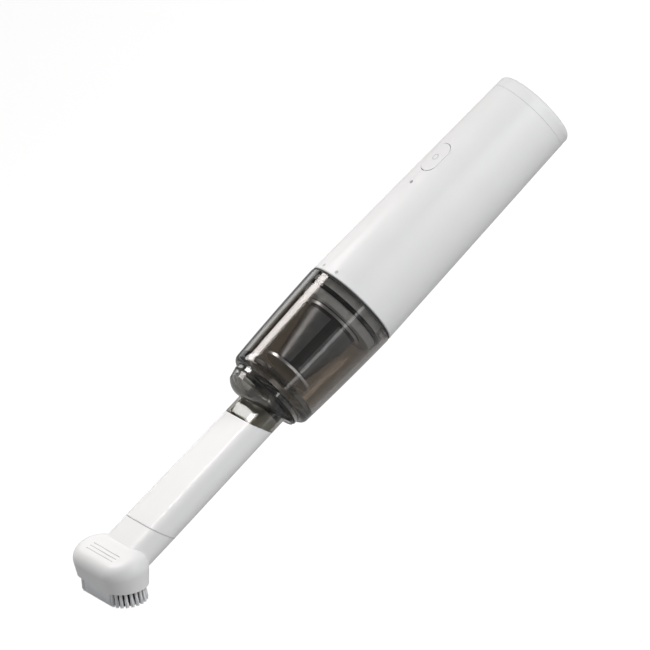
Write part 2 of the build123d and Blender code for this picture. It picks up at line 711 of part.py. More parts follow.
def front_chassis():
    """Plug in the housing's front end, with the intake grille, and the spigot that carries the dust cup."""
    plug = body_cone(BULKHEAD_X, SEAM_X, HOUSING_WALL + FIT)
    chassis = plug + frustum(SEAM_X, SPIGOT_R, SPIGOT_X, SPIGOT_R)
    for angle in polar(LUG_COUNT):
        chassis += chassis_catch(angle, 0.0) & body_cone(BULKHEAD_X, SEAM_X, HOUSING_WALL / 2)
        lug_x = CUP_X + TAB_LENGTH + SWING_GAP
        lug_r = cup_bore_r(lug_x + LUG_LENGTH) - SWING_GAP
        chassis += sector(lug_r, SPIGOT_IN_R, lug_x, lug_x + LUG_LENGTH, angle, LUG_ANGLE)
    chassis -= rod_x(SPIGOT_IN_R, BULKHEAD_X + BULKHEAD, SPIGOT_X - SPIGOT_LIP)
    chassis -= rod_x(FILTER_SEAT_R, BULKHEAD_X + BULKHEAD, SPIGOT_X)
    groove_x = SEAM_X + O_RING_AT
    groove_half = O_RING_R + FIT
    groove_r = o_ring_centre() - O_RING_R - PIN_FIT
    chassis -= ring(SEAM_R, groove_r, groove_x - groove_half, groove_x + groove_half)
    grille = ring(GRILLE_OUT_R, GRILLE_IN_R, BULKHEAD_X, BULKHEAD_X + BULKHEAD)
    for angle in polar(GRILLE_SPOKES // 2):
        spoke = block(BULKHEAD_X, BULKHEAD_X + BULKHEAD, -SPOKE_WIDTH / 2, SPOKE_WIDTH / 2, -SEAM_R, SEAM_R)
        grille -= Rot(X=angle / 2) * spoke
    return chassis - grille


def o_ring_centre():
    """Radius of the O-ring's centre line, which brings its outside close to the cup."""
    return cup_bore_r(SEAM_X + O_RING_AT + O_RING_R) - RUN_FIT - O_RING_R


def spigot_o_ring():
    section = Pos(SEAM_X + O_RING_AT, o_ring_centre()) * Circle(O_RING_R)
    return revolve(section, Axis.X)


def seam_gasket():
    gasket = ring(SEAM_R - SEAM_GASKET_INSET, SPIGOT_R + FIT, SEAM_X, SEAM_X + SEAM_GASKET)
    return gasket - underside()


def front_damper():
    return ring(FAN_R, DAMPER_IN_R, FAN_FRONT_X, BULKHEAD_X)


def blade_top_outline(gap):
    """Corners of the fan's meridian outline, from the impeller's rim to its eye."""
    plate_x = impeller_x() + IMPELLER_PLATE
    rim_x = plate_x + BLADE_FLAT
    top_x = plate_x + BLADE_HEIGHT
    return (rim_x + gap, IMPELLER_R + gap), (top_x + gap, EYE_R)


def impeller_x():
    """Back of the impeller's plate."""
    return FAN_BACK_X + BEARING_LENGTH + DIFFUSER + FAN_GAP


def impeller():
    x0 = impeller_x()
    plate_x = x0 + IMPELLER_PLATE
    top_x = plate_x + BLADE_HEIGHT
    rim, eye = blade_top_outline(-BLADE_INSET)
    envelope = turned((x0, 0), (x0, rim[1]), rim, eye, (eye[0], 0))
    root = HUB_R - BLADE_THICK
    tip = IMPELLER_R + BLADE_THICK
    middle = (root + tip) / 2
    lag = BLADE_SWEEP / 4
    outline = Polyline((root, 0), (middle, lag), (tip, BLADE_SWEEP), (tip, BLADE_SWEEP + BLADE_THICK),
                       (middle, lag + BLADE_THICK), (root, BLADE_THICK), close=True)
    blade = extrude(across(plate_x - IMPELLER_PLATE / 2) * make_face(outline), BLADE_HEIGHT) & envelope
    wheel = rod_x(IMPELLER_R, x0, plate_x) + rod_x(HUB_R, x0, top_x)
    wheel = wheel.fuse(*[Rot(X=angle) * blade for angle in polar(BLADE_COUNT)])
    return wheel - rod_x(SHAFT_R + PIN_FIT, x0, top_x)


def motor_shaft():
    return rod_x(SHAFT_R, MOTOR_BACK_X + CASE_WALL, impeller_x() + IMPELLER_PLATE + BLADE_HEIGHT)


def rotor_magnet():
    x0 = MOTOR_BACK_X + STATOR_BACK
    return ring(MAGNET_R, SHAFT_R + PIN_FIT, x0, x0 + STATOR_LENGTH)


def stator_core():
    x0 = MOTOR_BACK_X + STATOR_BACK
    x1 = x0 + STATOR_LENGTH
    yoke_in = STATOR_R - STATOR_YOKE
    core = ring(STATOR_R, yoke_in, x0, x1)
    tooth = block(x0, x1, -TOOTH_WIDTH / 2, TOOTH_WIDTH / 2, TOOTH_IN_R, yoke_in + STATOR_YOKE / 2)
    for angle in polar(STATOR_TEETH):
        core += Rot(X=angle) * tooth
    return core - rod_x(TOOTH_IN_R, x0, x1)


def stator_windings():
    """One coil round each stator tooth."""
    x0 = MOTOR_BACK_X + STATOR_BACK
    x1 = x0 + STATOR_LENGTH
    half = TOOTH_WIDTH / 2
    z0 = TOOTH_IN_R + AIR_GAP
    z1 = STATOR_R - STATOR_YOKE - AIR_GAP
    coil = block(x0 - COIL_THICK, x1 + COIL_THICK, -half - COIL_THICK, half + COIL_THICK, z0, z1)
    coil -= block(x0 - PIN_FIT, x1 + PIN_FIT, -half - PIN_FIT, half + PIN_FIT, 0, FAR)
    return Compound([(Rot(X=angle) * coil).solid() for angle in polar(STATOR_TEETH)])


def motor_bearing(x0):
    return ring(BEARING_R, SHAFT_R + RUN_FIT, x0, x0 + BEARING_LENGTH)


def rear_bearing():
    return motor_bearing(MOTOR_BACK_X + CASE_WALL)


def front_bearing():
    return motor_bearing(FAN_BACK_X)


def motor_case():
    back = MOTOR_BACK_X
    case = ring(CASE_R, CASE_IN_R, back, FAN_BACK_X) + rod_x(CASE_R, back, back + CASE_WALL)
    seat = ring(BEARING_R + PIN_FIT + CASE_WALL, BEARING_R + PIN_FIT, back, back + CASE_WALL + BEARING_LENGTH)
    return case + seat


def motor_board():
    return rod_x(CASE_R - CASE_WALL, MOTOR_BACK_X - MOTOR_BOARD, MOTOR_BACK_X)


def diffuser():
    """Front plate of the motor, with the front bearing's seat and the outlet slots round its rim."""
    x0 = FAN_BACK_X
    x1 = x0 + BEARING_LENGTH + DIFFUSER
    plate = rod_x(FAN_IN_R - FIT, x1 - DIFFUSER, x1)
    plate += ring(CASE_R, CASE_IN_R, x0, x1) + rod_x(BEARING_R + 2 * CASE_WALL, x0, x1)
    plate -= rod_x(BEARING_R + PIN_FIT, x0, x0 + BEARING_LENGTH)
    plate -= rod_x(SHAFT_R + FIT, x0, x1)
    slot = block(x1 - DIFFUSER, x1, -CASE_WALL, CASE_WALL, CASE_R + FIT, FAN_IN_R)
    for angle in polar(DIFFUSER_COUNT):
        plate -= Rot(X=angle) * slot
    return plate


def fan_housing():
    """Shroud over the impeller, with the intake eye in front."""
    (rim_x, rim_r), (eye_x, eye_r) = blade_top_outline(FAN_GAP)
    front = FAN_FRONT_X
    return turned((FAN_BACK_X, FAN_IN_R), (FAN_BACK_X, FAN_R), (front, FAN_R), (front, FAN_R - FAN_WALL),
                  (front - FAN_WALL, EYE_R + FAN_WALL), (front, EYE_R + FAN_WALL), (front, EYE_R),
                  (eye_x, eye_r), (rim_x, rim_r))


def rear_damper():
    return ring(CASE_R + REAR_DAMPER, CASE_R + PIN_FIT, MOTOR_BACK_X, MOTOR_BACK_X + REAR_DAMPER_LENGTH)


def filter_frame():
    """Flange on the spigot's lip, with a sleeve that plugs into it."""
    frame = ring(FILTER_FLANGE_R, FILTER_OPEN_R, FLANGE_X, CONE_X)
    return frame + ring(FILTER_SLEEVE_R, FILTER_OPEN_R, FLANGE_X - FILTER_SLEEVE, FLANGE_X)


def filter_gasket():
    return ring(FILTER_FLANGE_R, FILTER_SEAT_R, SPIGOT_X, FLANGE_X)


def filter_r(x):
    """Outer radius of the filter cone at x."""
    return FILTER_BASE_R + (FILTER_TIP_R - FILTER_BASE_R) * (x - CONE_X) / FILTER_LENGTH


def filter_cage():
    """Cone of ribs with a ring at each end, its first rib turned from +Y towards +Z."""
    x0 = CONE_X
    x1 = CONE_END_X
    skin = frustum(x0, filter_r(x0), x1, filter_r(x1))
    skin -= frustum(x0, filter_r(x0) - FILTER_SKIN, x1, filter_r(x1) - FILTER_SKIN)
    windows = frustum(x0 + FILTER_RING, SEAM_R, x1 - FILTER_RING, SEAM_R)
    half = FILTER_RIB_WIDTH / 2
    for angle in polar(FILTER_RIBS // 2):
        windows -= Rot(X=FILTER_RIB_TURN + angle / 2) * block(x0, x1, -SEAM_R, SEAM_R, -half, half)
    return skin - windows


def pleat_outline(r):
    """Star outline with one corner out and one in for each pleat."""
    corners = []
    for index in range(2 * PLEAT_COUNT):
        angle = math.pi * index / PLEAT_COUNT
        reach = r - PLEAT_DEPTH * (index % 2)
        corners.append((reach * math.cos(angle), reach * math.sin(angle)))
    return make_face(Polyline(*corners, close=True))


def pleat_cone(inset):
    x0 = CONE_X
    x1 = CONE_END_X
    gap = FILTER_SKIN + FIT + inset
    sections = [across(x) * pleat_outline(filter_r(x) - gap) for x in (x0, x1)]
    return loft(sections, ruled=True)


def filter_media():
    return pleat_cone(0.0) - pleat_cone(PLEAT_THICK)


def filter_cap():
    """Disc that closes the cone's front and stands out round it, with a low crown."""
    x0 = CONE_END_X
    return turned((x0, 0), (x0, FILTER_CAP_R), (x0 + FILTER_CAP, FILTER_CAP_R),
                  (x0 + FILTER_CAP, FILTER_CAP_R - FILTER_CAP), (x0 + FILTER_CAP_CROWN, 0))


def dust_cup():
    middle = (CUP_X + CUP_RIM_X) / 2, (CUP_R + CUP_RIM_R) / 2 + CUP_SWELL
    barrel = ThreePointArc((CUP_X, CUP_R), middle, (CUP_RIM_X, CUP_RIM_R))
    lip_middle = (CUP_RIM_X + CUP_LIP_X * 2) / 3, (CUP_RIM_R * 2 + CUP_LIP_R) / 3
    lip = ThreePointArc((CUP_RIM_X, CUP_RIM_R), lip_middle, (CUP_LIP_X, CUP_LIP_R))
    step_x = CUP_MOUTH_X - (cup_bore_r(CUP_MOUTH_X) - CUP_MOUTH_R)
    inside = Polyline((CUP_LIP_X, CUP_LIP_R), (CUP_LIP_X, CUP_FRONT_R), (CUP_FRONT_X, CUP_FRONT_R),
                      (CUP_FRONT_X, CUP_MOUTH_R), (CUP_MOUTH_X, CUP_MOUTH_R),
                      (step_x, cup_bore_r(step_x)), (CUP_X, cup_bore_r(CUP_X)), (CUP_X, CUP_R))
    cup = revolve(make_face(barrel + lip + inside), Axis.X)
    tab_in = SPIGOT_R + SWING_GAP
    for angle in polar(LUG_COUNT):
        tab = sector(cup_bore_r(CUP_X) + CUP_WALL / 2, tab_in, CUP_X, CUP_X + TAB_LENGTH, angle, LUG_ANGLE)
        cup += tab
    return cup - underside()


def nose_shape(x0, inset):
    """Tapered drum from x0, with flat sides and a slanted front rounded above, drawn in by an inset."""
    x1 = NOSE_FACE_X + NOSE_R
    drop = (x1 - x0) * math.tan(math.radians(NOSE_CONE))
    drum = frustum(x0, NOSE_R - inset, x1, NOSE_R - inset - drop)
    half = NOSE_HALF_WIDTH - inset
    drum = drum & block(x0, x1, -half, half, -NOSE_R, NOSE_R)
    edge = NOSE_EDGE_R
    corner = edge * (1 - math.sqrt(0.5))
    rim = NOSE_FACE_R - inset
    flare = rim + NOSE_R * math.tan(math.radians(NOSE_DRAFT))
    rounding = ThreePointArc((rim - edge, 0), (rim - corner, -corner), (rim, -edge))
    outline = Polyline((rim, -edge), (flare, -edge - NOSE_R), (0, -edge - NOSE_R), (0, 0), (rim - edge, 0))
    front = revolve(Plane.XZ * make_face(rounding + outline), Axis.Z)
    return drum & (slant_plane(NOSE_FACE_X - inset, 0, NOSE_FACE_SLANT) * Pos(X=-NOSE_FACE_DROP) * front)


def inlet_nose():
    """Smoked nose on the cup's front, with the flat collar that takes the nozzle."""
    end_x = COLLAR_X + COLLAR_HEIGHT
    collar = slab(COLLAR_WIDTH, COLLAR_HEIGHT, NOSE_X, end_x)
    collar = behind(collar, slant_plane(COLLAR_X, DUCT_Z, COLLAR_SLANT))
    skirt_r = CUP_MOUTH_R - FIT
    web_x = NOSE_X - NOSE_WALL
    nose = nose_shape(NOSE_X, 0.0) + rod_x(skirt_r, CUP_MOUTH_X, NOSE_X) + collar
    nose -= nose_shape(web_x, NOSE_WALL) + rod_x(skirt_r - NOSE_SKIRT_WALL, CUP_MOUTH_X, web_x)
    return nose - slab(COLLAR_BORE_WIDTH, COLLAR_BORE_HEIGHT, NOSE_X, end_x)


def nose_gasket():
    return ring(NOSE_GASKET_R, CUP_MOUTH_R - FIT + PIN_FIT, CUP_FRONT_X, NOSE_X)


def duct_front_x():
    """Front end of the inlet duct, just behind the nozzle's spigot."""
    return COLLAR_X - NOZZLE_SPIGOT_LENGTH - SLIDE_FIT


def inlet_duct():
    """Dark inner duct from the collar into the cup, with the ears for the flap's pin."""
    duct = slab(DUCT_WIDTH, DUCT_HEIGHT, DUCT_X, duct_front_x())
    for side in (-1, 1):
        y0 = side * (FLAP_BARREL_HALF + SWING_GAP)
        y1 = y0 + side * FLAP_EAR
        low, high = sorted((y0, y1))
        ear = rod_y(FLAP_BARREL_R, low, high, FLAP_PIN_X, FLAP_PIN_Z)
        ear += block(FLAP_PIN_X, DUCT_X + 2 * FLAP_EAR, low, high, FLAP_PIN_Z - FLAP_BARREL_R, FLAP_PIN_Z)
        web = block(DUCT_X, DUCT_X + 2 * FLAP_EAR, low, high, DUCT_Z, FLAP_PIN_Z)
        duct += ear + web
    bore_width = DUCT_WIDTH - 2 * DUCT_WALL
    duct -= slab(bore_width, DUCT_HEIGHT - 2 * DUCT_WALL, DUCT_X, duct_front_x())
    return duct - rod_y(FLAP_PIN_R + PIN_FIT, -SEAM_R, SEAM_R, FLAP_PIN_X, FLAP_PIN_Z)


def flap_pin():
    half = FLAP_BARREL_HALF + SWING_GAP + FLAP_EAR
    return rod_y(FLAP_PIN_R, -half, half, FLAP_PIN_X, FLAP_PIN_Z)


def inlet_flap():
    """Flap that hangs on its pin and shuts the duct's inner end."""
    x1 = DUCT_X - FIT
    x0 = x1 - FLAP_THICK
    width = DUCT_WIDTH - 2 * DUCT_WALL + 2 * FLAP_OVERLAP
    height = DUCT_HEIGHT - 2 * DUCT_WALL + 2 * FLAP_OVERLAP
    plate = slab(width, height, x0, x1)
    half = FLAP_BARREL_HALF
    arm = block(x0, x1, -half, half, DUCT_Z, FLAP_PIN_Z)
    barrel = rod_y(FLAP_BARREL_R, -half, half, FLAP_PIN_X, FLAP_PIN_Z)
    barrel = barrel & block(x0 - FLAP_BARREL_R, x1, -half, half, FLAP_PIN_Z - FLAP_BARREL_R, FAR)
    return plate + arm + barrel - rod_y(FLAP_PIN_R + RUN_FIT, -half, half, FLAP_PIN_X, FLAP_PIN_Z)


def nozzle_tube():
    """Flat tube with a spigot at each end: one in the nose's collar and one in the brush's neck."""
    spare = COLLAR_HEIGHT
    tube = flared_slab(COLLAR_X - spare, JOINT_X + spare, 0.0)
    tube = in_front(tube, slant_plane(COLLAR_X, DUCT_Z, COLLAR_SLANT))
    tube = behind(tube, slant_plane(JOINT_X, DUCT_Z, JOINT_SLANT))
    rear_x = COLLAR_X - NOZZLE_SPIGOT_LENGTH
    front_x = JOINT_X + NECK_SPIGOT_LENGTH
    tube += slab(SPIGOT_WIDTH, SPIGOT_HEIGHT, rear_x, COLLAR_X + spare / 2)
    neck_width = NECK_BORE_WIDTH - 2 * SLIDE_FIT
    neck_height = NECK_BORE_HEIGHT - 2 * SLIDE_FIT
    tube += slab(neck_width, neck_height, JOINT_X - spare / 2, front_x)
    tube -= slab(AIRWAY_WIDTH, AIRWAY_HEIGHT, rear_x, front_x)
    return tube - flared_slab(COLLAR_X + spare / 2, JOINT_X - spare / 2, NOZZLE_WALL)


def head_plane():
    """Plane of the brush head's lower edge: its x along Y, its normal up and back along the bristles."""
    tilt = math.radians(HEAD_TILT)
    return Plane(origin=(HEAD_X, 0, HEAD_Z), x_dir=(0, 1, 0), z_dir=(-math.sin(tilt), 0, math.cos(tilt)))


def head_slab(inset, low, high):
    """Flat-oval bar along the bristles, between two heights above the lower edge."""
    outline = head_plane().offset(low) * SlotOverall(HEAD_LENGTH - 2 * inset, HEAD_WIDTH - 2 * inset)
    return extrude(outline, high - low)


def brush_head():
    """Domed hood on a flat neck, open below."""
    hood = head_hood()
    spare = COLLAR_HEIGHT
    neck = slab(JOINT_WIDTH, COLLAR_HEIGHT, JOINT_X - spare, HEAD_X - NECK_END)
    neck = in_front(neck, slant_plane(JOINT_X, DUCT_Z, JOINT_SLANT))
    head = hood + neck
    head -= head_slab(HEAD_WALL, 0, HEAD_SHOULDER)
    head -= head_slab(HEAD_WALL + HEAD_EDGE_R / 2, 0, HEAD_CEILING)
    stop_x = JOINT_X + NECK_SPIGOT_LENGTH + SLIDE_FIT
    head -= slab(NECK_BORE_WIDTH, NECK_BORE_HEIGHT, JOINT_X - spare, stop_x)
    head -= slab(AIRWAY_WIDTH, AIRWAY_HEIGHT, JOINT_X, HEAD_X - NECK_END)
    core = Pos(head_plane().z_dir * -GROOVE_DEPTH) * hood
    for index in range(GROOVE_COUNT):
        head -= groove_post(GROOVE_AHEAD + index * GROOVE_PITCH) - core
    return head


def head_hood():
    """Outer form of the hood: an oval with leaning walls, whose top falls to the front."""
    base = head_plane() * SlotOverall(HEAD_LENGTH, HEAD_WIDTH)
    hood = extrude(base, 2 * HEAD_CROWN, taper=-HEAD_DRAFT)
    top_plane = Plane(head_plane() * Pos(0, 0, HEAD_CROWN) * Rot(X=HEAD_FALL))
    hood = behind(hood, top_plane)
    top = hood.faces().sort_by(Axis(head_plane().origin, head_plane().z_dir))[-1]
    return fillet(top.edges(), HEAD_EDGE_R)


def groove_post(ahead):
    """Upright slot along Y, some way ahead of the hood's middle."""
    place = head_plane().offset(HEAD_CEILING) * Pos(0, -ahead)
    return extrude(place * SlotOverall(GROOVE_LENGTH, GROOVE_WIDTH), HEAD_CROWN)


def bristle_carrier():
    """Ring that holds the bristle strip in the hood's mouth."""
    inset = HEAD_WALL + FIT
    return head_slab(inset, STRIP, STRIP + CARRIER) - head_slab(inset + CARRIER_RING, 0, HEAD_CROWN)


def strand(y, ahead):
    """Square bristle at a place in the mouth, y along the head and ahead towards its front."""
    place = head_plane().offset(-BRISTLE_LENGTH) * Pos(y, -ahead)
    return extrude(place * Rectangle(STRAND, STRAND), BRISTLE_LENGTH + STRIP / 2)


def bristle_places():
    """Tufts round both ends, and a close hedge along both straight sides."""
    row_r = HEAD_WIDTH / 2 - HEAD_WALL - FIT - BRISTLE_INSET - TUFT_ROWS * STRAND_PITCH / 2
    half_straight = (HEAD_LENGTH - HEAD_WIDTH) / 2
    places = []
    offsets = [(index - (TUFT_ROWS - 1) / 2) * STRAND_PITCH for index in range(TUFT_ROWS)]
    for side in (-1, 1):
        for index in range(TUFTS_PER_END):
            angle = math.pi * (index + 0.5) / TUFTS_PER_END
            out = Vector(side * math.sin(angle), math.cos(angle))
            along = Vector(-out.Y, out.X)
            for depth in offsets:
                for shift in offsets:
                    spot = out * (row_r + depth) + along * shift
                    places.append((side * half_straight + spot.X, spot.Y))
    count = int(2 * half_straight / STRAND_PITCH)
    for side in (-1, 1):
        for row in range(HEDGE_ROWS):
            for index in range(count):
                y = (index - (count - 1) / 2) * STRAND_PITCH
                places.append((y, side * (row_r - row * STRAND_PITCH)))
    return places


def bristles():
    inset = HEAD_WALL + FIT
    strip = head_slab(inset, 0, STRIP) - head_slab(inset + CARRIER_RING, -STRIP, HEAD_CROWN)
    return strip.fuse(*[strand(y, ahead) for y, ahead in bristle_places()])


PARTS = {
    "main_housing": main_housing,
    "tail_cap": tail_cap,
    "cap_screws": cap_screws,
    "lock_marks": lock_marks,
    "power_button": power_button,
    "button_mark": button_mark,
    "switch_plunger": switch_plunger,
    "tact_switch": tact_switch,
    "status_led": status_led,
    "light_pipe": light_pipe,
    "main_board": main_board,
    "board_screws": board_screws,
    "board_components": board_components,
    "battery_tabs": battery_tabs,
    "battery_cradle": battery_cradle,
    "usb_port": usb_port,
    "usb_board": usb_board,
    "charge_leads": charge_leads,
    "battery_leads": battery_leads,
    "motor_leads": motor_leads,
    "front_chassis": front_chassis,
    "spigot_o_ring": spigot_o_ring,
    "seam_gasket": seam_gasket,
    "front_damper": front_damper,
    "impeller": impeller,
    "motor_shaft": motor_shaft,
    "rotor_magnet": rotor_magnet,
    "stator_core": stator_core,
    "stator_windings": stator_windings,
    "rear_bearing": rear_bearing,
    "front_bearing": front_bearing,
    "motor_case": motor_case,
    "motor_board": motor_board,
    "diffuser": diffuser,
    "fan_housing": fan_housing,
    "rear_damper": rear_damper,
    "filter_frame": filter_frame,
    "filter_gasket": filter_gasket,
    "filter_cage": filter_cage,
    "filter_media": filter_media,
    "filter_cap": filter_cap,
    "dust_cup": dust_cup,
    "inlet_nose": inlet_nose,
    "nose_gasket": nose_gasket,
    "inlet_duct": inlet_duct,
    "flap_pin": flap_pin,
    "inlet_flap": inlet_flap,
    "nozzle_tube": nozzle_tube,
    "brush_head": brush_head,
    "bristle_carrier": bristle_carrier,
    "bristles": bristles,
}


def main():
    os.makedirs("parts", exist_ok=True)
    for name, make in PARTS.items():
        export_step(make(), f"parts/{name}.step")
    for name, side in (("battery_cell_left", 1), ("battery_cell_right", -1)):
        export_step(battery_cell(side), f"parts/{name}.step")


if __name__ == "__main__":
    main()
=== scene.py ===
import json
import math
import random

import bmesh
import bpy
from mathutils import Matrix, Vector


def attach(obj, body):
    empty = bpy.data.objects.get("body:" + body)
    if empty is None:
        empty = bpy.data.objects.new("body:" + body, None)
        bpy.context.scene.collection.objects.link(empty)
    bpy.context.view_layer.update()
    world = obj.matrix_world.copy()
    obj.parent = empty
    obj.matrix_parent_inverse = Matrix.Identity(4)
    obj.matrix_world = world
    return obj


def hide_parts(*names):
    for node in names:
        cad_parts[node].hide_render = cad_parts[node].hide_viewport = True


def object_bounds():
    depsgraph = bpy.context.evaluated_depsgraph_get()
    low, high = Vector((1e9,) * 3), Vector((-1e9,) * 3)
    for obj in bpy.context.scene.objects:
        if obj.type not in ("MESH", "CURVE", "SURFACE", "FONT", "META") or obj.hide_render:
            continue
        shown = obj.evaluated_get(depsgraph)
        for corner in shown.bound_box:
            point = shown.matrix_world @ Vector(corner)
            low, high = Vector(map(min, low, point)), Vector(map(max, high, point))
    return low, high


# Looks of a cordless hand-held vacuum cleaner, in metres, in the frame of the solids:
# origin at the centre of the tail face, +X along the body to the brush, +Z up through the button.

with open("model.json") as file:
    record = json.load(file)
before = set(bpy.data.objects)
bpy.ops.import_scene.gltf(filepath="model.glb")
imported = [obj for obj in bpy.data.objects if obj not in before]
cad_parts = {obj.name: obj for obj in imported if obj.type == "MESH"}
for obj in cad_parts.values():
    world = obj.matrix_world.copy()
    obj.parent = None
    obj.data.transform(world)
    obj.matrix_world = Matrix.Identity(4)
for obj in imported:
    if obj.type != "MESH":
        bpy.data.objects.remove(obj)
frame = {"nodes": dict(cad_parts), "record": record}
cad_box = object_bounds()

MM = 0.001
SEAM = 160.2

# Camera
CAMERA_TARGET = Vector((0.17919, -0.00437, 0.0001))
CAMERA_BACK = Vector((0.18607, 0.80696, 0.56067))
CAMERA_UP = Vector((-0.71587, -0.27952, 0.63993))
CAMERA_DISTANCE = 8.0
VIEW_WIDTH = 0.3756
SENSOR_WIDTH = 36.0

# Studio
FLOOR_DROP = 0.45
FLOOR_HALF = 12.0
FLOOR_GREY = (0.5, 0.5, 0.5, 1.0)
FLOOR_GLOW = 0.76
MIRRORED_GLOW = 0.2
STUDIO_GREY = (0.4, 0.405, 0.41, 1.0)
# Patches of the studio: middle, cosines where the patch starts and is full, and grey
STUDIO_PATCHES = (
    (Vector((0.95, 0.15, 0.27)), 0.4, 0.9, (0.64, 0.64, 0.645, 1.0)),
    (Vector((-0.19, 0.5, 0.85)), 0.3, 0.8, (0.16, 0.16, 0.16, 1.0)),
    (Vector((-0.19, -0.84, 0.5)), 0.965, 0.985, (0.02, 0.02, 0.02, 1.0)),
)
HORIZON_WHITE = (1.0, 1.0, 1.0, 1.0)
HORIZON_LOW = 0.05
HORIZON_HIGH = 0.12

# Sockets of a colour mix: its first and second colour, and its result
MIX_FIRST = 6
MIX_SECOND = 7
MIX_RESULT = 2

# Smoked plastic: absorption for each metre is the density times one less the colour,
# and painted shade darkens its base colour from the side that faces up and left (towards +Y and +Z) to the
# one below
SMOKE_COLOUR = (0.42, 0.4, 0.37, 1.0)
SMOKE_DENSITY = 300.0
NOSE_DENSITY = 110.0
SMOKE_UNSHADED_SIDE = Vector((0.0, 0.834, 0.552))
SMOKE_PAINTED_SHADE = (0.32, 0.26, 0.2)
SMOKE_SHADE_FADE = 9.0 * MM
# Painted shade on the nose: its base colour darkens towards +X
NOSE_PAINTED_SHADE = (0.48, 0.47, 0.42)
NOSE_UNSHADED_SIDE = Vector((-1.0, 0.0, 0.0))
NOSE_SHADE_FADE = (0.1, 0.7)
PLASTIC_IOR = 1.49

# Filter and brush joint, as the solids have them
CONE_BACK = (SEAM + 16.1) * MM
CONE_FRONT = (SEAM + 53.5) * MM
CONE_BACK_R = 17.2 * MM
CONE_FRONT_R = 10.7 * MM
CAGE_RIBS = 4
RIB_WIDTH = 6.0 * MM
RIB_TURN = math.radians(32.0)
SCREEN_INSET = 0.1 * MM
SCREEN_STEPS = 14
JOINT = Vector((SEAM + 175.0, 0.0, -4.5)) * MM
JOINT_SLANT = math.radians(24.0)
JOINT_WIDTH = 39.8 * MM
JOINT_HEIGHT = 16.4 * MM
# Painted shade: a grey ring in the nozzle and brush joint stands in for the shadow line there
SHADE_RING_HALF = 0.5 * MM
SHADE_RING_PROUD = 0.04 * MM
SHADE_RING_DEPTH = 0.3 * MM
SHADE_RING_STEPS = 24

# Brush head, as the solids have it
HEAD_ORIGIN = Vector((SEAM + 211.4, 0.0, -10.0)) * MM
HEAD_TILT = math.radians(29.0)
HEAD_LENGTH = 56.0 * MM
HEAD_WIDTH = 27.0 * MM
BRISTLE_TOP = 0.7 * MM
BRISTLE_LENGTH = 9.4 * MM
BRISTLE_EDGE = 2.0 * MM
TUFTS_PER_END = 11
TUFT_R = 0.8 * MM
TUFT_STRANDS = 30
HEDGE_PITCH = 0.27 * MM
HEDGE_ROWS = 4
STRAND_R = 0.17 * MM
STRAND_SIDES = 4
STRAND_RINGS = 4
STRAND_LEAN = 0.02
STRAND_SPLAY = 0.03
STRAND_TAPER = 0.45
STRAND_SEED = 7
# Near-black inner rows of strands: painted shade inside the brush
CORE_SEED = 11
CORE_GAP = 1.7 * MM
CORE_ROWS = 2
CORE_PITCH = 0.33 * MM


def node_of(tree, kind, **values):
    """New shader node with some of its sockets or settings filled in."""
    node = tree.nodes.new(kind)
    for key, value in values.items():
        name = key.replace("_", " ").title()
        if name in node.inputs:
            node.inputs[name].default_value = value
        else:
            setattr(node, key, value)
    return node


def blank_material(name):
    """Material with a lone principled shader, and its tree."""
    material = bpy.data.materials.new(name)
    material.use_nodes = True
    tree = material.node_tree
    shader = tree.nodes["Principled BSDF"]
    return material, tree, shader


def object_noise(tree, scale, detail=3.0):
    """Noise over the piece's own coordinates, with a scale in features for each metre."""
    place = tree.nodes.new("ShaderNodeTexCoord")
    noise = node_of(tree, "ShaderNodeTexNoise", scale=scale, detail=detail)
    tree.links.new(place.outputs["Object"], noise.inputs["Vector"])
    return noise


def vary_roughness(tree, shader, scale, low, high):
    noise = object_noise(tree, scale)
    span = node_of(tree, "ShaderNodeMapRange", to_min=low, to_max=high)
    tree.links.new(noise.outputs["Fac"], span.inputs["Value"])
    tree.links.new(span.outputs["Result"], shader.inputs["Roughness"])


def vary_colour(tree, shader, scale, dark, light):
    noise = object_noise(tree, scale)
    ramp = tree.nodes.new("ShaderNodeValToRGB")
    ramp.color_ramp.elements[0].position = 0.3
    ramp.color_ramp.elements[1].position = 0.7
    ramp.color_ramp.elements[0].color = (*dark, 1.0)
    ramp.color_ramp.elements[1].color = (*light, 1.0)
    tree.links.new(noise.outputs["Fac"], ramp.inputs["Fac"])
    tree.links.new(ramp.outputs["Color"], shader.inputs["Base Color"])


def grain(tree, shader, scale, strength, depth):
    """Fine moulded grain as a bump."""
    noise = object_noise(tree, scale, 2.0)
    bump = node_of(tree, "ShaderNodeBump", strength=strength, distance=depth)
    tree.links.new(noise.outputs["Fac"], bump.inputs["Height"])
    tree.links.new(bump.outputs["Normal"], shader.inputs["Normal"])


def shade(colour, factor):
    return tuple(min(1.0, part * factor) for part in colour)


def moulded(name, colour, roughness, spread=0.05, mottle=0.03, grain_depth=0.02):
    """Moulded plastic or rubber: slight mottling, uneven gloss and a fine grain."""
    material, tree, shader = blank_material(name)
    vary_colour(tree, shader, 45.0, shade(colour, 1 - mottle), shade(colour, 1 + mottle))
    vary_roughness(tree, shader, 160.0, roughness - spread, roughness + spread)
    grain(tree, shader, 2600.0, 0.25, grain_depth * MM)
    shader.inputs["IOR"].default_value = PLASTIC_IOR
    return material


def satin_shell(name, colour):
    """White satin shell with a thin gloss on its skin."""
    material = moulded(name, colour, 0.55, 0.04, 0.008, 0.008)
    shader = material.node_tree.nodes["Principled BSDF"]
    shader.inputs["Coat Weight"].default_value = 0.18
    shader.inputs["Coat Roughness"].default_value = 0.16
    return material


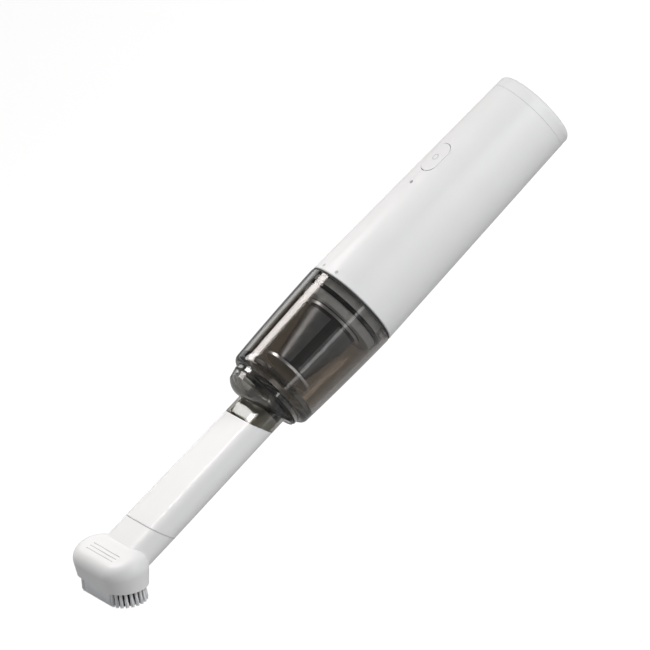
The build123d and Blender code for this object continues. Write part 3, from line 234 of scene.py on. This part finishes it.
def metal(name, colour, roughness, streak):
    """Metal with fine streaks along X."""
    material, tree, shader = blank_material(name)
    shader.inputs["Metallic"].default_value = 1.0
    vary_colour(tree, shader, 90.0, shade(colour, 0.9), colour)
    place = tree.nodes.new("ShaderNodeTexCoord")
    stretch = tree.nodes.new("ShaderNodeMapping")
    stretch.inputs["Scale"].default_value = streak
    noise = node_of(tree, "ShaderNodeTexNoise", scale=1.0, detail=4.0)
    span = node_of(tree, "ShaderNodeMapRange", to_min=roughness * 0.7, to_max=roughness * 1.3)
    tree.links.new(place.outputs["Object"], stretch.inputs["Vector"])
    tree.links.new(stretch.outputs["Vector"], noise.inputs["Vector"])
    tree.links.new(noise.outputs["Fac"], span.inputs["Value"])
    tree.links.new(span.outputs["Result"], shader.inputs["Roughness"])
    return material


def smoked(name, density, painted_shade, coordinates, unshaded_side, shade_fade):
    """Polished smoked plastic, tinted through its thickness, with painted shade: its base colour darkens away
    from its unshaded side.
    """
    material, tree, shader = blank_material(name)
    shader.inputs["Transmission Weight"].default_value = 1.0
    shader.inputs["IOR"].default_value = PLASTIC_IOR
    vary_roughness(tree, shader, 70.0, 0.0, 0.03)
    # Painted shade: white base colour on the unshaded side, fading to the shade tint away from it
    place = tree.nodes.new("ShaderNodeTexCoord")
    depth = node_of(tree, "ShaderNodeVectorMath", operation="DOT_PRODUCT")
    depth.inputs[1].default_value = -unshaded_side
    span = node_of(tree, "ShaderNodeMapRange", from_min=shade_fade[0], from_max=shade_fade[1])
    ramp = tree.nodes.new("ShaderNodeValToRGB")
    ramp.color_ramp.elements[0].color = (1.0, 1.0, 1.0, 1.0)
    ramp.color_ramp.elements[1].color = (*painted_shade, 1.0)
    tree.links.new(place.outputs[coordinates], depth.inputs[0])
    tree.links.new(depth.outputs["Value"], span.inputs["Value"])
    tree.links.new(span.outputs["Result"], ramp.inputs["Fac"])
    tree.links.new(ramp.outputs["Color"], shader.inputs["Base Color"])
    smoke = node_of(tree, "ShaderNodeVolumeAbsorption", color=SMOKE_COLOUR, density=density)
    tree.links.new(smoke.outputs["Volume"], tree.nodes["Material Output"].inputs["Volume"])
    return material


def cloth(name, colour):
    """Filter cloth: a fibrous felt."""
    material, tree, shader = blank_material(name)
    vary_colour(tree, shader, 1800.0, shade(colour, 0.8), shade(colour, 1.05))
    shader.inputs["Roughness"].default_value = 0.9
    grain(tree, shader, 5000.0, 0.6, 0.08 * MM)
    return material


def screen(name, colour):
    """Fine woven steel screen round the body axis."""
    material, tree, shader = blank_material(name)
    shader.inputs["Metallic"].default_value = 0.6
    shader.inputs["Roughness"].default_value = 0.42
    vary_colour(tree, shader, 220.0, shade(colour, 0.9), shade(colour, 1.1))
    grain(tree, shader, 3000.0, 0.3, 0.05 * MM)
    return material


SLOT_MATERIALS = {
    "white_shell": satin_shell("white_shell", (0.84, 0.843, 0.845)),
    # Smoked cup, with painted shade on its far side
    "smoked_clear": smoked("smoked_clear", SMOKE_DENSITY, SMOKE_PAINTED_SHADE, "Object", SMOKE_UNSHADED_SIDE,
                           (-SMOKE_SHADE_FADE, SMOKE_SHADE_FADE)),
    "chassis_grey": moulded("chassis_grey", (0.76, 0.765, 0.76), 0.35),
    "filter_plastic": moulded("filter_plastic", (0.06, 0.06, 0.062), 0.3),
    "inner_plastic": moulded("inner_plastic", (0.03, 0.03, 0.032), 0.42),
    "black_rubber": moulded("black_rubber", (0.012, 0.012, 0.012), 0.65, 0.08, 0.1),
    "mark_grey": moulded("mark_grey", (0.38, 0.39, 0.4), 0.5),
    "lamp_lens": moulded("lamp_lens", (0.32, 0.33, 0.35), 0.3),
    "filter_cloth": cloth("filter_cloth", (0.3, 0.3, 0.29)),
    "bristle_nylon": moulded("bristle_nylon", (0.9, 0.91, 0.92), 0.45),
    "steel": metal("steel", (0.6, 0.6, 0.61), 0.3, (120.0, 1500.0, 1500.0)),
    "magnet": metal("magnet", (0.16, 0.16, 0.17), 0.5, (300.0, 300.0, 300.0)),
    "copper": metal("copper", (0.72, 0.36, 0.18), 0.35, (3000.0, 200.0, 200.0)),
    "circuit_board": moulded("circuit_board", (0.02, 0.12, 0.06), 0.35),
    "component_black": moulded("component_black", (0.02, 0.02, 0.022), 0.5),
    "plunger_plastic": moulded("plunger_plastic", (0.7, 0.69, 0.65), 0.45),
    "led_lens": moulded("led_lens", (0.8, 0.8, 0.72), 0.2),
    "fan_plastic": moulded("fan_plastic", (0.6, 0.61, 0.62), 0.4),
    "cell_wrap": moulded("cell_wrap", (0.03, 0.12, 0.3), 0.3),
    "lead_jacket": moulded("lead_jacket", (0.35, 0.02, 0.015), 0.5),
}


FILTER_RING = metal("filter_ring", (0.95, 0.95, 0.955), 0.36, (300.0, 300.0, 300.0))
SOFT_MARK = moulded("mark_grey_soft", (0.5, 0.51, 0.52), 0.5)
NODE_MATERIALS = {
    "filter_frame": FILTER_RING,
    "filter_cap": FILTER_RING,
    # Smoked nose, with painted shade towards its front
    "inlet_nose": smoked("smoked_nose", NOSE_DENSITY, NOSE_PAINTED_SHADE, "Generated", NOSE_UNSHADED_SIDE, NOSE_SHADE_FADE),
    "button_mark": SOFT_MARK,
    "lock_marks": SOFT_MARK,
}


def dress_solids():
    """Give each solid the material of its slot, or its own shade of it."""
    for part in frame["record"]["subparts"]:
        name = part["node"]
        solid = frame["nodes"][name]
        solid.data.materials.clear()
        solid.data.materials.append(NODE_MATERIALS.get(name, SLOT_MATERIALS[part["material_slot"]]))


def add_piece(name, mesh, body, material, smooth=False):
    """Turn a finished mesh into a piece that rides on a body."""
    data = bpy.data.meshes.new(name)
    mesh.to_mesh(data)
    mesh.free()
    if smooth:
        data.shade_smooth()
    data.materials.append(material)
    piece = bpy.data.objects.new(name, data)
    bpy.context.scene.collection.objects.link(piece)
    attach(piece, body)
    return piece


def bridge(mesh, first, second):
    """Close the strip between two rings of as many points."""
    for side in range(len(first)):
        after = (side + 1) % len(first)
        mesh.faces.new((first[side], first[after], second[after], second[side]))


def make_filter_screen():
    """Curved panels of woven screen in the windows of the filter cage."""
    mesh = bmesh.new()
    for index in range(CAGE_RIBS):
        middle = RIB_TURN + 2 * math.pi * (index + 0.5) / CAGE_RIBS
        edges = []
        for x, radius in ((CONE_BACK, CONE_BACK_R - SCREEN_INSET), (CONE_FRONT, CONE_FRONT_R - SCREEN_INSET)):
            window = math.pi / CAGE_RIBS - math.asin(RIB_WIDTH / 2 / radius)
            edge = []
            for step in range(SCREEN_STEPS + 1):
                angle = middle + window * (2 * step / SCREEN_STEPS - 1)
                edge.append(mesh.verts.new((x, radius * math.cos(angle), radius * math.sin(angle))))
            edges.append(edge)
        back, front = edges
        for step in range(SCREEN_STEPS):
            mesh.faces.new((back[step], back[step + 1], front[step + 1], front[step]))
    panels = screen("filter_screen", (0.26, 0.265, 0.27))
    add_piece("filter_screen", mesh, "body", panels, True)


def oval_point(width, height, share):
    """Point on a flat oval, at a share of the way round it."""
    radius = height / 2
    straight = width - height
    lengths = (straight, math.pi * radius)
    way = share * 2 * sum(lengths)
    side = 1
    if way >= sum(lengths):
        way -= sum(lengths)
        side = -1
    if way < straight:
        return Vector((side * (straight / 2 - way), side * radius))
    turn = math.pi / 2 + (way - straight) / radius
    return Vector((side * (-straight / 2 + radius * math.cos(turn)), side * radius * math.sin(turn)))


def make_joint_shade_ring():
    """Thin grey ring in the joint between the nozzle and the brush: painted shade that stands in for the
    shadow line in the gap.
    """
    mesh = bmesh.new()
    loops = []
    for depth, shift in ((-SHADE_RING_PROUD, -1), (-SHADE_RING_PROUD, 1), (SHADE_RING_DEPTH, 1), (SHADE_RING_DEPTH, -1)):
        loop = []
        for step in range(4 * SHADE_RING_STEPS):
            spot = oval_point(JOINT_WIDTH - 2 * depth, JOINT_HEIGHT - 2 * depth, step / (4 * SHADE_RING_STEPS))
            lean = math.tan(JOINT_SLANT) * spot.y + shift * SHADE_RING_HALF
            loop.append(mesh.verts.new(JOINT + Vector((lean, spot.x, spot.y))))
        loops.append(loop)
    for index in range(4):
        bridge(mesh, loops[index], loops[(index + 1) % 4])
    shade_ring = moulded("joint_shade_grey", (0.68, 0.68, 0.685), 0.5)
    add_piece("joint_shade_ring", mesh, "nozzle", shade_ring, True)


def head_point(along, ahead, up):
    """Point of the brush head: along Y, ahead towards its front, up along the bristles."""
    front = Vector((math.cos(HEAD_TILT), 0.0, math.sin(HEAD_TILT)))
    rise = Vector((-math.sin(HEAD_TILT), 0.0, math.cos(HEAD_TILT)))
    return HEAD_ORIGIN + Vector((0.0, along, 0.0)) + front * ahead + rise * up


def add_strand(mesh, along, ahead, lean_along, lean_ahead):
    """Tapered nylon strand that leans a little more towards its tip."""
    rings = []
    for step in range(STRAND_RINGS + 1):
        share = step / STRAND_RINGS
        reach = (BRISTLE_TOP + BRISTLE_LENGTH) * share
        radius = STRAND_R * (1.0 - STRAND_TAPER * share ** 3)
        bow = reach * share
        ring = []
        for side in range(STRAND_SIDES):
            turn = 2 * math.pi * (side + 0.5) / STRAND_SIDES
            spot = head_point(along + lean_along * bow + radius * math.cos(turn),
                              ahead + lean_ahead * bow + radius * math.sin(turn),
                              BRISTLE_TOP - reach)
            ring.append(mesh.verts.new(spot))
        rings.append(ring)
    for upper, lower in zip(rings, rings[1:]):
        bridge(mesh, upper, lower)
    mesh.faces.new(rings[0][::-1])
    mesh.faces.new(rings[-1])


def bristle_spots(draw):
    """Places and outward lean of all strands: tufts round the ends, hedges along the straight sides."""
    row_r = HEAD_WIDTH / 2 - BRISTLE_EDGE - TUFT_R
    half_straight = (HEAD_LENGTH - HEAD_WIDTH) / 2
    spots = []
    for end in (-1, 1):
        for index in range(TUFTS_PER_END):
            angle = math.pi * (index + 0.5) / TUFTS_PER_END
            out = Vector((end * math.sin(angle), math.cos(angle)))
            for strand in range(TUFT_STRANDS):
                reach = TUFT_R * math.sqrt((strand + 0.5) / TUFT_STRANDS)
                turn = strand * math.pi * (3 - math.sqrt(5))
                shift = Vector((math.cos(turn), math.sin(turn))) * reach
                spot = Vector((end * half_straight, 0.0)) + out * row_r + shift
                lean = out * STRAND_LEAN + shift / TUFT_R * STRAND_SPLAY
                spots.append((spot, lean))
    count = int(2 * half_straight / HEDGE_PITCH)
    for side in (-1, 1):
        for row in range(HEDGE_ROWS):
            for index in range(count):
                along = (index + 0.5 * (row % 2) - (count - 1) / 2) * HEDGE_PITCH
                ahead = side * (row_r + TUFT_R - STRAND_R - row * HEDGE_PITCH)
                lean = Vector((draw.uniform(-1, 1) * STRAND_LEAN, side * STRAND_LEAN))
                spots.append((Vector((along, ahead)), lean))
    return spots


def make_bristles():
    draw = random.Random(STRAND_SEED)
    mesh = bmesh.new()
    for spot, lean in bristle_spots(draw):
        stray = Vector((draw.uniform(-1, 1), draw.uniform(-1, 1))) * STRAND_LEAN / 2
        add_strand(mesh, spot.x, spot.y, lean.x + stray.x, lean.y + stray.y)
    strands = add_piece("bristle_strands", mesh, "brush", SLOT_MATERIALS["bristle_nylon"])
    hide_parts("bristles")


def make_bristle_shade_core():
    """Near-black inner rows behind the tufts: painted shade that stands in for the shade inside the brush."""
    draw = random.Random(CORE_SEED)
    mesh = bmesh.new()
    half_straight = (HEAD_LENGTH - HEAD_WIDTH) / 2
    for row in range(CORE_ROWS):
        radius = HEAD_WIDTH / 2 - BRISTLE_EDGE - TUFT_R - CORE_GAP - row * CORE_PITCH
        width = 2 * (half_straight + radius)
        count = int((4 * half_straight + 2 * math.pi * radius) / CORE_PITCH)
        for index in range(count):
            spot = oval_point(width, 2 * radius, (index + row / 2) / count)
            lean = Vector((draw.uniform(-1, 1), draw.uniform(-1, 1))) * STRAND_LEAN
            add_strand(mesh, spot.x, spot.y, lean.x, lean.y)
    shade_core = moulded("bristle_shade_core", (0.02, 0.02, 0.02), 0.5)
    add_piece("bristle_shade_core", mesh, "brush", shade_core)


def make_camera():
    right = CAMERA_UP.cross(CAMERA_BACK).normalized()
    back = CAMERA_BACK.normalized()
    up = back.cross(right)
    data = bpy.data.cameras.new("camera")
    data.sensor_width = SENSOR_WIDTH
    data.lens = SENSOR_WIDTH * CAMERA_DISTANCE / VIEW_WIDTH
    data.clip_end = 100.0
    camera = bpy.data.objects.new("camera", data)
    turn = Matrix((right, up, back)).transposed().to_4x4()
    camera.matrix_world = Matrix.Translation(CAMERA_TARGET + back * CAMERA_DISTANCE) @ turn
    bpy.context.scene.collection.objects.link(camera)
    bpy.context.scene.camera = camera


def seen_rays(tree):
    """1 for rays from the camera, and a share of it for those that polished and clear surfaces send on."""
    path = tree.nodes.new("ShaderNodeLightPath")
    sent_on = node_of(tree, "ShaderNodeMath", operation="MAXIMUM")
    share = node_of(tree, "ShaderNodeMath", operation="MULTIPLY")
    share.inputs[1].default_value = MIRRORED_GLOW
    total = node_of(tree, "ShaderNodeMath", operation="MAXIMUM")
    tree.links.new(path.outputs["Is Glossy Ray"], sent_on.inputs[0])
    tree.links.new(path.outputs["Is Transmission Ray"], sent_on.inputs[1])
    tree.links.new(sent_on.outputs["Value"], share.inputs[0])
    tree.links.new(path.outputs["Is Camera Ray"], total.inputs[0])
    tree.links.new(share.outputs["Value"], total.inputs[1])
    return total.outputs["Value"]


def make_floor():
    """Pale floor below the object, lifted to white where it is seen, that still takes the shadow."""
    material = bpy.data.materials.new("floor")
    material.use_nodes = True
    tree = material.node_tree
    tree.nodes.remove(tree.nodes["Principled BSDF"])
    matt = node_of(tree, "ShaderNodeBsdfDiffuse", color=FLOOR_GREY)
    glow = tree.nodes.new("ShaderNodeEmission")
    lift = node_of(tree, "ShaderNodeMath", operation="MULTIPLY")
    lift.inputs[1].default_value = FLOOR_GLOW
    both = tree.nodes.new("ShaderNodeAddShader")
    tree.links.new(seen_rays(tree), lift.inputs[0])
    tree.links.new(lift.outputs["Value"], glow.inputs["Strength"])
    tree.links.new(matt.outputs["BSDF"], both.inputs[0])
    tree.links.new(glow.outputs["Emission"], both.inputs[1])
    tree.links.new(both.outputs["Shader"], tree.nodes["Material Output"].inputs["Surface"])
    half = FLOOR_HALF
    height = cad_box[0].z - FLOOR_DROP
    data = bpy.data.meshes.new("floor")
    corners = [(-half, -half, height), (half, -half, height), (half, half, height), (-half, half, height)]
    data.from_pydata(corners, [], [(0, 1, 2, 3)])
    data.materials.append(material)
    floor = bpy.data.objects.new("floor", data)
    bpy.context.scene.collection.objects.link(floor)


def make_world():
    """Grey studio above a white horizon, with its bright and dark patches."""
    world = bpy.data.worlds.new("studio")
    bpy.context.scene.world = world
    world.use_nodes = True
    tree = world.node_tree
    place = tree.nodes.new("ShaderNodeTexCoord")
    split = tree.nodes.new("ShaderNodeSeparateXYZ")
    span = node_of(tree, "ShaderNodeMapRange", from_min=HORIZON_LOW, from_max=HORIZON_HIGH)
    ramp = tree.nodes.new("ShaderNodeValToRGB")
    ramp.color_ramp.elements[0].color = HORIZON_WHITE
    ramp.color_ramp.elements[1].color = STUDIO_GREY
    tree.links.new(place.outputs["Generated"], split.inputs["Vector"])
    tree.links.new(split.outputs["Z"], span.inputs["Value"])
    tree.links.new(span.outputs["Result"], ramp.inputs["Fac"])
    colour = ramp.outputs["Color"]
    for middle, starts, full, grey in STUDIO_PATCHES:
        facing = node_of(tree, "ShaderNodeVectorMath", operation="DOT_PRODUCT")
        facing.inputs[1].default_value = middle.normalized()
        share = node_of(tree, "ShaderNodeMapRange", from_min=starts, from_max=full)
        mix = node_of(tree, "ShaderNodeMix", data_type="RGBA")
        mix.inputs[MIX_SECOND].default_value = grey
        tree.links.new(place.outputs["Generated"], facing.inputs[0])
        tree.links.new(facing.outputs["Value"], share.inputs["Value"])
        tree.links.new(share.outputs["Result"], mix.inputs[0])
        tree.links.new(colour, mix.inputs[MIX_FIRST])
        colour = mix.outputs[MIX_RESULT]
    tree.links.new(colour, tree.nodes["Background"].inputs["Color"])


WHITE = (1.0, 1.0, 1.0)
WARM = (1.0, 0.955, 0.935)
AXIS_X = Vector((1.0, 0.0, 0.0))
AXIS_Y = Vector((0.0, 1.0, 0.0))


def make_lamp(name, target, direction, distance, size, radiance, colour, along):
    """Softbox that faces a target from a direction, with its length along an axis."""
    length, width = size
    back = Vector(direction).normalized()
    side = (along - back * along.dot(back)).normalized()
    data = bpy.data.lights.new(name, "AREA")
    data.shape = "RECTANGLE"
    data.size = length
    data.size_y = width
    data.energy = radiance * math.pi * length * width
    data.color = colour
    lamp = bpy.data.objects.new(name, data)
    turn = Matrix((side, back.cross(side), back)).transposed().to_4x4()
    lamp.matrix_world = Matrix.Translation(Vector(target) + back * distance) @ turn
    lamp.visible_camera = False
    bpy.context.scene.collection.objects.link(lamp)


CUP_MIDDLE = (0.1922, 0.0, 0.0)
COLLAR_TOP = (0.252, 0.0013, 0.0037)
NOZZLE_TOP = (0.3322, 0.0, 0.0037)


def round_the_axis(degrees, lean):
    """Direction at an angle from +Y towards +Z, leaning back along the body."""
    turn = math.radians(degrees)
    return Vector((-lean, math.cos(turn), math.sin(turn)))


# Lamps: name, target, direction, distance, length and width, radiance, colour, axis of the length
LAMPS = (
    ("key_softbox", CUP_MIDDLE, round_the_axis(129.5, 0.16), 1.0, (0.28, 0.36), 10.2, WARM, AXIS_X),
    ("front_fill", CUP_MIDDLE, (-0.55, 0.68, 0.48), 1.5, (0.9, 0.9), 5.2, WHITE, AXIS_X),
    ("back_strip", CUP_MIDDLE, round_the_axis(167.0, 0.18), 1.0, (0.5, 0.36), 0.8, WHITE, AXIS_X),
    ("thin_strip", CUP_MIDDLE, round_the_axis(9.5, 0.14), 0.8, (0.5, 0.1), 2.6, WHITE, AXIS_X),
    ("collar_light", COLLAR_TOP, (-0.186, -0.807, 0.561), 0.25, (0.013, 0.0065), 7.0, WHITE, AXIS_Y),
    ("nozzle_light", NOZZLE_TOP, (-0.25, -0.65, 0.7), 0.32, (0.12, 0.12), 6.9, WARM, AXIS_X),
)


def make_lamps():
    for lamp in LAMPS:
        make_lamp(*lamp)


dress_solids()
make_filter_screen()
make_joint_shade_ring()
make_bristles()
make_bristle_shade_core()
make_camera()
make_floor()
make_world()
make_lamps()

bpy.context.scene.view_settings.view_transform = "Standard"
